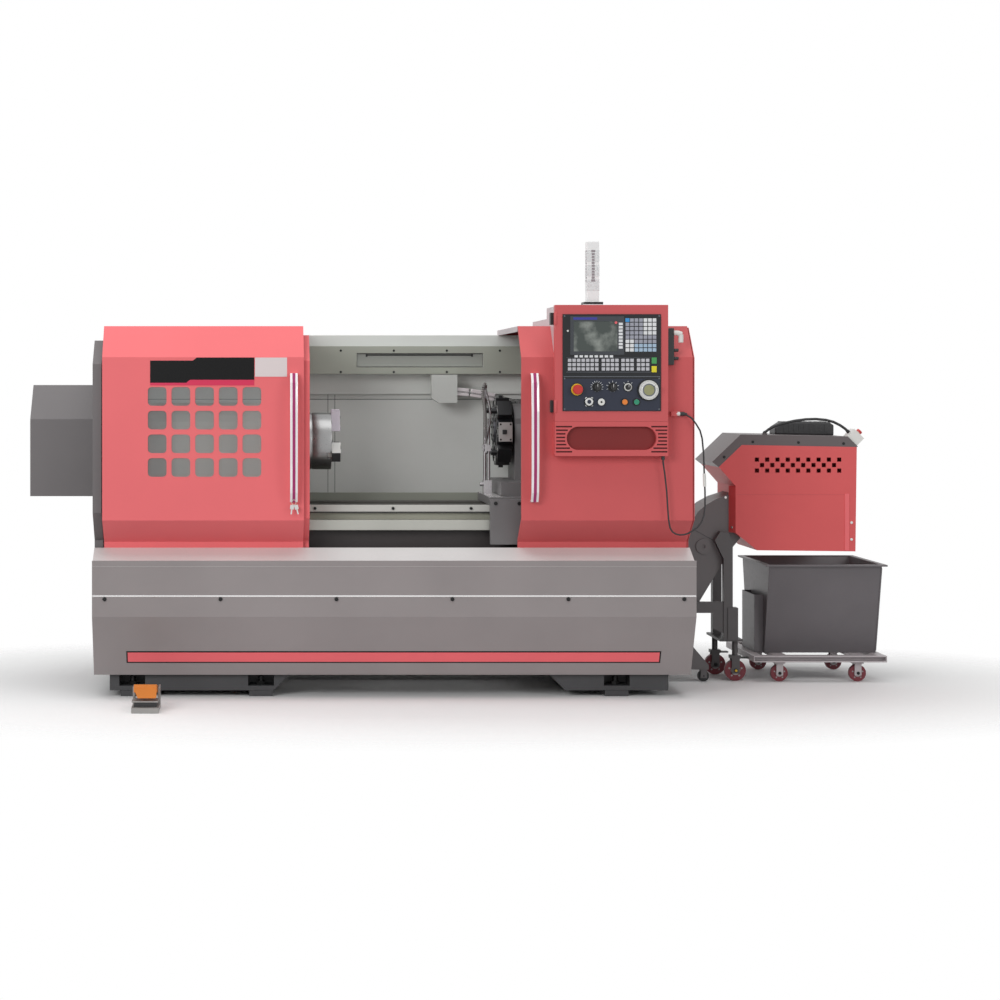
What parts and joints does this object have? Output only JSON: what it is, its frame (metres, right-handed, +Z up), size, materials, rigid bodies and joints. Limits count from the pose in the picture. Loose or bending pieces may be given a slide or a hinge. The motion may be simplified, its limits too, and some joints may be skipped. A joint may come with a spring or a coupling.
{
  "type": "cnc turning lathe",
  "caption": "Flat-bed CNC turning lathe in red and grey sheet guards with sliding doors, console, chuck, turret, tailstock, chip conveyor, chip cart and foot switch.",
  "frame": {"origin": "on the floor, in the middle of the four anchor holes", "axes": "+X along the bed to the conveyor, -Y to the operator, +Z up"},
  "size_m": [3.795, 1.741, 1.94],
  "materials": {
    "red_paint": "semi-gloss",
    "grey_paint": "semi-gloss",
    "dark_paint": "satin",
    "pale_paint": "satin",
    "casting": "painted",
    "steel": "ground",
    "black_steel": "satin",
    "chrome": "polished",
    "clear": "clear",
    "white_plastic": "gloss",
    "black_plastic": "matte",
    "red_plastic": "gloss",
    "green_plastic": "gloss",
    "orange_plastic": "gloss",
    "orange_paint": "semi-gloss",
    "black_rubber": "matte",
    "wheel": "matte"
  },
  "bodies": {
    "machine": {"bed": "casting", "pedestals": "dark_paint", "leveling_pads": "dark_paint", "base_cover": "grey_paint", "chip_tray": "dark_paint", "left_end_guards": "grey_paint", "left_guard": "red_paint", "right_guard": "red_paint", "rear_guard": "pale_paint", "work_lamp": "white_plastic", "headstock": "casting", "electrical_cabinet": "grey_paint", "screw_cover": "steel", "pedal_base": "dark_paint", "conveyor_trunk": "grey_paint", "conveyor_head": "red_paint", "conveyor_cover": "grey_paint", "conveyor_motor": "dark_paint", "conveyor_switch": "white_plastic", "conveyor_hose": "black_rubber", "conveyor_leg": "dark_paint"},
    "feed_screw": {"feed_screw": "steel"},
    "spindle": {"spindle": "steel", "chuck_body": "steel"},
    "jaw_1": {"jaw_1": "steel"},
    "jaw_2": {"jaw_2": "steel"},
    "jaw_3": {"jaw_3": "steel"},
    "carriage": {"saddle": "casting", "coolant_pipe": "steel"},
    "cross_slide": {"cross_slide": "casting", "cable_box": "pale_paint"},
    "turret": {"turret_disc": "steel", "tool_holders": "black_steel"},
    "tailstock": {"tailstock_body": "casting"},
    "quill": {"tailstock_quill": "steel"},
    "left_door": {"left_door": "red_paint", "left_handle": "chrome", "left_window": "clear"},
    "right_door": {"right_door": "red_paint", "right_handle": "chrome", "console_housing": "grey_paint", "signal_lamp": "white_plastic", "door_cable": "black_rubber"},
    "console": {"console_front": "red_paint", "control_panel": "black_plastic"},
    "estop": {"estop_button": "red_plastic"},
    "start_button": {"start_button": "green_plastic"},
    "stop_button": {"stop_button": "orange_plastic"},
    "feed_knob": {"feed_knob": "black_plastic"},
    "spindle_knob": {"spindle_knob": "black_plastic"},
    "mode_selector": {"mode_selector": "black_plastic"},
    "hand_wheel": {"hand_wheel": "steel"},
    "pedal": {"pedal_treadle": "orange_paint"},
    "caster_front": {"caster_front_wheel": "wheel"},
    "caster_back": {"caster_back_wheel": "wheel"},
    "tail_caster": {"tail_wheel": "wheel"},
    "cart": {"cart_frame": "grey_paint", "chip_bin": "grey_paint"},
    "cart_left": {"cart_left_wheels": "wheel"},
    "cart_right": {"cart_right_wheels": "wheel"}
  },
  "joints": [
    {"name": "feed_screw_turn", "type": "hinge", "parent": "machine", "child": "feed_screw", "pos_m": [0.5, -0.298, 0.718], "axis": [1, 0, 0], "continuous": true},
    {"name": "spindle_turn", "type": "hinge", "parent": "machine", "child": "spindle", "pos_m": [-0.3, -0.1, 1.082], "axis": [1, 0, 0], "continuous": true},
    {"name": "jaw_1_slide", "type": "slide", "parent": "spindle", "child": "jaw_1", "axis": [0, 0, 1], "range_m": [-0.0044, 0]},
    {"name": "jaw_2_slide", "type": "slide", "parent": "spindle", "child": "jaw_2", "axis": [0, -0.866, -0.5], "range_m": [-0.0044, 0]},
    {"name": "jaw_3_slide", "type": "slide", "parent": "spindle", "child": "jaw_3", "axis": [0, 0.866, -0.5], "range_m": [-0.0044, 0]},
    {"name": "carriage_slide", "type": "slide", "parent": "machine", "child": "carriage", "axis": [1, 0, 0], "range_m": [-0.62, 0]},
    {"name": "cross_slide_slide", "type": "slide", "parent": "carriage", "child": "cross_slide", "axis": [0, 1, 0], "range_m": [-0.14, 0.04]},
    {"name": "turret_turn", "type": "hinge", "parent": "cross_slide", "child": "turret", "pos_m": [0.6, 0.13, 1.12], "axis": [1, 0, 0], "continuous": true},
    {"name": "tailstock_slide", "type": "slide", "parent": "machine", "child": "tailstock", "axis": [1, 0, 0], "range_m": [-0.01, 0.05]},
    {"name": "quill_slide", "type": "slide", "parent": "tailstock", "child": "quill", "axis": [1, 0, 0], "range_m": [-0.06, 0]},
    {"name": "left_door_slide", "type": "slide", "parent": "machine", "child": "left_door", "axis": [1, 0, 0], "range_m": [0, 0.8]},
    {"name": "right_door_slide", "type": "slide", "parent": "machine", "child": "right_door", "axis": [1, 0, 0], "range_m": [-0.1, 0]},
    {"name": "console_hinge", "type": "hinge", "parent": "right_door", "child": "console", "pos_m": [0.746, -0.592, 1.42], "axis": [0, 0, -1], "range_deg": [0, 100]},
    {"name": "estop_press", "type": "slide", "parent": "console", "child": "estop", "axis": [0, 1, 0], "range_m": [0, 0.006]},
    {"name": "start_press", "type": "slide", "parent": "console", "child": "start_button", "axis": [0, 1, 0], "range_m": [0, 0.004], "stiffness_N_per_m": 400},
    {"name": "stop_press", "type": "slide", "parent": "console", "child": "stop_button", "axis": [0, 1, 0], "range_m": [0, 0.004], "stiffness_N_per_m": 400},
    {"name": "feed_knob_turn", "type": "hinge", "parent": "console", "child": "feed_knob", "pos_m": [0.917, -0.6, 1.32], "axis": [0, -1, 0], "range_deg": [-135, 135]},
    {"name": "spindle_knob_turn", "type": "hinge", "parent": "console", "child": "spindle_knob", "pos_m": [0.983, -0.6, 1.32], "axis": [0, -1, 0], "range_deg": [-135, 135]},
    {"name": "mode_selector_turn", "type": "hinge", "parent": "console", "child": "mode_selector", "pos_m": [1.047, -0.6, 1.32], "axis": [0, -1, 0], "range_deg": [-60, 60]},
    {"name": "hand_wheel_turn", "type": "hinge", "parent": "console", "child": "hand_wheel", "pos_m": [1.131, -0.6, 1.308], "axis": [0, -1, 0], "continuous": true},
    {"name": "pedal_press", "type": "hinge", "parent": "machine", "child": "pedal", "pos_m": [-0.957, -0.703, 0.07], "axis": [1, 0, 0], "range_deg": [0, 12], "stiffness_Nm_per_rad": 15, "springref_deg": -17.19},
    {"name": "caster_front_roll", "type": "hinge", "parent": "machine", "child": "caster_front", "pos_m": [1.65, 0.094, 0.047], "axis": [0, 1, 0], "continuous": true},
    {"name": "caster_back_roll", "type": "hinge", "parent": "machine", "child": "caster_back", "pos_m": [1.605, 0.304, 0.047], "axis": [0, 1, 0], "continuous": true},
    {"name": "tail_caster_roll", "type": "hinge", "parent": "machine", "child": "tail_caster", "pos_m": [1.501, 0.065, 0.0255], "axis": [0, 1, 0], "continuous": true},
    {"name": "cart_roll", "type": "slide", "parent": "machine", "child": "cart", "axis": [1, 0, 0], "range_m": [0, 0.9]},
    {"name": "cart_left_roll", "type": "hinge", "parent": "cart", "child": "cart_left", "pos_m": [1.842, 0.27, 0.0375], "axis": [0, 1, 0], "continuous": true},
    {"name": "cart_right_roll", "type": "hinge", "parent": "cart", "child": "cart_right", "pos_m": [2.193, 0.27, 0.0375], "axis": [0, 1, 0], "continuous": true}
  ],
  "couplings": [
    {"joint": "jaw_2_slide", "follows": "jaw_1_slide", "ratio": 1},
    {"joint": "jaw_3_slide", "follows": "jaw_1_slide", "ratio": 1},
    {"joint": "cart_left_roll", "follows": "cart_roll", "rad_per_m": 26.667},
    {"joint": "cart_right_roll", "follows": "cart_roll", "rad_per_m": 26.667},
    {"joint": "feed_screw_turn", "follows": "carriage_slide", "rad_per_m": 628.32}
  ]
}
